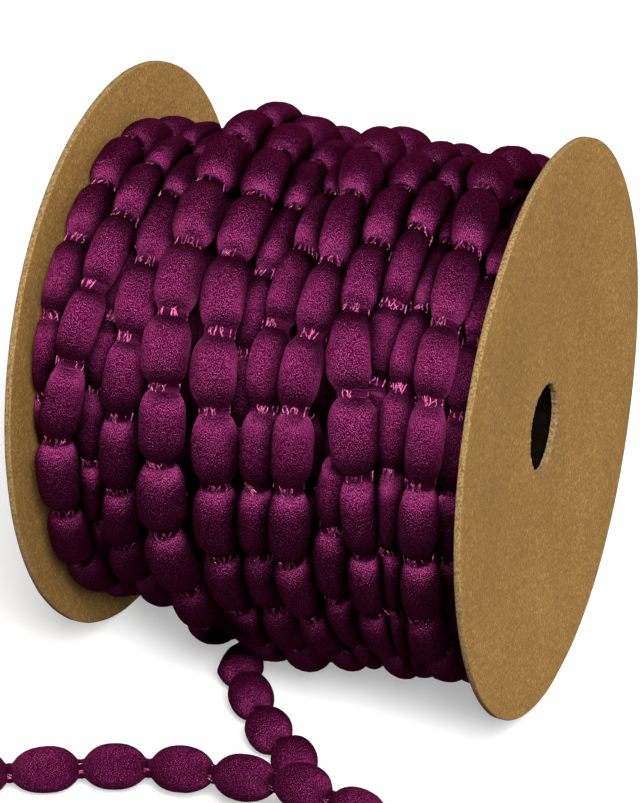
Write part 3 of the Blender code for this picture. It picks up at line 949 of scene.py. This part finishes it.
def make_core(look):
    """The card tube between the flanges."""
    turn = np.linspace(0.0, 2 * math.pi, CORE_STEPS, endpoint=False)
    half = float(card_inner_x(CORE_RADIUS)) - CORE_ENDS_ROOM
    bore = CORE_RADIUS - CORE_WALL
    end = half + CORE_BEVEL / 2
    rows = [(bore, half), (bore + CORE_BEVEL, end), (CORE_RADIUS - CORE_BEVEL, end), (CORE_RADIUS, half)]
    rows += [(radius, -x) for radius, x in rows[::-1]]
    radius, x = np.array(rows).T[:, :, None]
    points = np.stack([x + 0 * turn, -radius * np.cos(turn), radius * np.sin(turn)], -1)
    return ring_mesh("spool_tube", spool_to_ground(points), look)


# -------- the camera and the cord

def make_camera():
    """The photograph's camera."""
    back = from_axle(CAMERA_AZIMUTH, CAMERA_HEIGHT_ANGLE)
    right = Vector((math.cos(CAMERA_AZIMUTH), math.sin(CAMERA_AZIMUTH), 0.0))
    up = back.cross(right)
    data = bpy.data.cameras.new("camera")
    data.lens = LENS
    data.sensor_width = SENSOR
    data.clip_start = 0.01
    made = bpy.data.objects.new("camera", data)
    place = back * CAMERA_DISTANCE + right * CAMERA_RIGHT_SHIFT + up * CAMERA_UP_SHIFT
    place = (place + Vector((0.0, 0.0, AXLE_HEIGHT))) * MM
    turn = Matrix((right, up, back)).transposed().to_4x4()
    made.matrix_world = Matrix.Translation(place) @ turn
    bpy.context.scene.collection.objects.link(made)
    bpy.context.scene.camera = made


def through_points(points):
    """A smooth open curve through points, as a function of their numbers."""
    points = np.asarray(points, float)
    ahead = np.concatenate([points[:1], points, points[-1:]])

    def at(places):
        i = np.clip(np.floor(places).astype(int), 0, len(points) - 2)
        t = (places - i)[:, None]
        a, b, c, d = ahead[i], ahead[i + 1], ahead[i + 2], ahead[i + 3]
        return 0.5 * (
            2 * b + (c - a) * t + (2 * a - 5 * b + 4 * c - d) * t**2 + (3 * b - a - 3 * c + d) * t**3
        )

    return at


def make_loose_strand():
    """The loose end's net of rings, with its necks halfway between its bobbles."""
    middles = through_points(LOOSE_BOBBLES)
    stops = [LOOSE_START]
    stops += [tuple(middles(np.array([i + 0.5]))[0]) for i in range(len(LOOSE_BOBBLES) - 1)]
    stops += [LOOSE_FINISH]
    line = []
    for i, middle in enumerate(LOOSE_BOBBLES):
        line += [stops[i], middle]
    line.append(stops[-1])
    path = through_points(line)
    necks = np.arange(0, len(line), 2).astype(float)
    return Strand("loose", path, necks, closed=False, calm=True)


# -------- the winding

def all_necks(shown, radius):
    """A turn's necks all the way round: those that show, and even ones for the rest."""
    shown = np.array(shown, float)
    rest = shown[0] + 360.0 - shown[-1]
    count = round(math.radians(rest) * radius / WOUND_PITCH)
    more = shown[-1] + rest * np.arange(1, count + 1) / count
    return np.concatenate([shown, more])


def turn_path(x_of, middle_radius_of):
    """A turn's middle line on the ground, as a function of the angle in degrees."""
    def path(angles):
        turn = np.radians(angles)
        radius = middle_radius_of(angles)
        points = np.stack([x_of(angles), -radius * np.cos(turn), radius * np.sin(turn)], -1)
        return spool_to_ground(points)
    return path


def outer_strand(name):
    """A turn of the outer layers, through its own places."""
    shown, behind = TURNS[name], BEHIND[name]
    rows = list(shown) + [(angle, x, radius) for angle, (x, radius) in zip(BEHIND_ANGLES, behind)]
    column = dict(zip(TURN_COLUMNS, zip(*rows)))
    knots = column["neck_angle"]
    path = turn_path(
        lambda angles: closed_curve(knots, column["x"], angles),
        lambda angles: closed_curve(knots, column["outer_radius"], angles) - BOBBLE_RADIUS,
    )
    necks = all_necks(knots[: len(shown)], behind[1][1] - BOBBLE_RADIUS)
    return Strand(name, path, necks, width=TURN_WIDTHS[name])


def inner_strand(name, x, outer_radius, bobbles):
    """One turn of a lower layer, which wanders a little."""
    phase, wander = rng.uniform(0, 360), rng.uniform(*WANDERS)
    necks = phase + np.arange(bobbles + 1) * 360.0 / bobbles
    path = turn_path(
        lambda angles: x + wander * np.sin(np.radians(2 * angles + phase)),
        lambda angles: np.full(np.shape(angles), outer_radius - BOBBLE_RADIUS),
    )
    return Strand(name, path, necks, fine=False)


def sunk_strand():
    """The turn that runs on into the loose end, and sinks between its neighbours behind."""
    angle, x, radius = (np.array(column, float) for column in zip(*SUNK_TURN))
    run = angle[0] - angle
    path = turn_path(
        lambda angles: open_curve(run, x, angle[0] - angles),
        lambda angles: open_curve(run, radius, angle[0] - angles),
    )
    count = round(run[-1] / SUNK_BOBBLE_ANGLE)
    necks = angle[0] - run[-1] * np.arange(count + 1) / count
    return Strand("sunk", path, necks, closed=False)


def make_layer(letter, places, radius, bobbles):
    """The turns of one lower layer."""
    return [inner_strand(f"{letter}{i}", x, radius, bobbles) for i, x in enumerate(places)]


def make_winding(loose, look, painted_shade_look, threads):
    """All the turns on the spool, pressed against each other and the card."""
    outer = [outer_strand(name) for name in TURNS]
    sunk = sunk_strand()
    middle = make_layer("m", MIDDLE_TURNS, MIDDLE_RADIUS, MIDDLE_BOBBLES)
    inner = make_layer("i", INNER_TURNS, INNER_RADIUS, INNER_BOBBLES)
    press_together(outer + [sunk] + middle + inner + [loose])
    for strand in outer + [sunk] + middle + inner:
        hold_between_cards(strand)
        settle_on_ground(strand)
    settle_on_ground(loose)
    left = [strand for strand in outer if strand.name < "t04"]
    right = [strand for strand in outer if strand.name >= "t08"]
    between = [strand for strand in outer if "t04" <= strand.name < "t08"]
    for name, strands, cover, each in (
        ("winding_left", left, look, OUTER_THREADS),
        ("winding_middle", between, look, OUTER_THREADS),
        ("winding_right", right, look, OUTER_THREADS),
        ("winding_below", middle + [sunk], painted_shade_look, BELOW_THREADS),
        ("winding_inside", inner, painted_shade_look, 0),
    ):
        piece = strand_mesh(name, strands, cover)
        if each:
            neck_threads(name + "_threads", strands, each, threads)
        if name == "winding_left":
            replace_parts(piece, "wound_trim")


def make_loose_end(loose, look, threads):
    """The string's free end on the ground, with threads at its necks."""
    tube = strand_mesh("loose_string", [loose], look)
    gathers = neck_threads("loose_string_threads", [loose], LOOSE_THREADS, threads)
    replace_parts(tube, "loose_end")


# -------- the room

FLOOR_SIZE = 6.0
FLOOR_GREY = 0.7
FLOOR_GLOW = 0.34
WHITE = (1.0, 1.0, 1.0, 1.0)
ROOM_LIGHT = 0.16
LAMP_DISTANCE = 1.3
LAMPS = (  # name, azimuth, height, size, power
    ("key", 30.0, 46.0, 0.6, 30.5),
    ("fill", 75.0, 50.0, 1.0, 1.3),
    ("side", 98.0, 8.0, 0.6, 9.2),
    ("left side", -100.0, 8.0, 0.6, 5.0),
    ("back left", -130.0, 6.0, 1.0, 3.5),
    ("back right", 160.0, 6.0, 1.0, 4.0),
)


def make_room():
    """A plain pale floor and soft studio light from the camera's side."""
    floor_look = bpy.data.materials.new("pale floor")
    floor_look.use_nodes = True
    matt = floor_look.node_tree.nodes["Principled BSDF"].inputs
    matt["Base Color"].default_value = (FLOOR_GREY, FLOOR_GREY, FLOOR_GREY, 1.0)
    matt["Roughness"].default_value = 0.9
    matt["Specular IOR Level"].default_value = 0.0
    matt["Emission Color"].default_value = WHITE
    matt["Emission Strength"].default_value = FLOOR_GLOW
    bpy.ops.mesh.primitive_plane_add(size=FLOOR_SIZE, location=(0.0, 0.0, 0.0))
    floor = bpy.context.object
    floor.name = "floor"
    floor.visible_glossy = False
    floor.visible_diffuse = False
    floor.data.materials.append(floor_look)
    world = bpy.data.worlds.new("room")
    world.use_nodes = True
    background = world.node_tree.nodes["Background"].inputs
    background["Color"].default_value = WHITE
    background["Strength"].default_value = ROOM_LIGHT
    bpy.context.scene.world = world
    for lamp in LAMPS:
        soft_light(*lamp)
    bpy.context.scene.view_settings.view_transform = "Standard"


def from_axle(azimuth, height):
    """The direction from the spool; azimuth 0 is the -Y side and 90 the +X side, in radians."""
    level = math.cos(height)
    return Vector((math.sin(azimuth) * level, -math.cos(azimuth) * level, math.sin(height)))


def soft_light(name, azimuth, height, size, power):
    """A square lamp that faces the spool, with its direction in degrees."""
    way = from_axle(math.radians(azimuth), math.radians(height))
    data = bpy.data.lights.new(name, "AREA")
    data.size = size
    data.energy = power
    made = bpy.data.objects.new(name, data)
    made.location = Vector((0.0, 0.0, AXLE_HEIGHT * MM)) + way * LAMP_DISTANCE
    made.rotation_euler = way.to_track_quat("Z", "Y").to_euler()
    bpy.context.scene.collection.objects.link(made)


make_camera()
satin_look = satin("bobble satin")
thread_look = thread_satin("neck thread")
loose_strand = make_loose_strand()
make_winding(loose_strand, satin_look, satin("satin in the shade", painted_shade=0.8), thread_look)
make_loose_end(loose_strand, satin("loose end satin", calm=0.3, anisotropic=0.2), thread_look)
card_look = kraft("kraft card")
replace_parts(make_flange("card_left", -1, card_look), "flange_left")
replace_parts(make_flange("card_right", 1, card_look), "flange_right")
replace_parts(make_core(tube_card("tube card")), "core")
make_room()
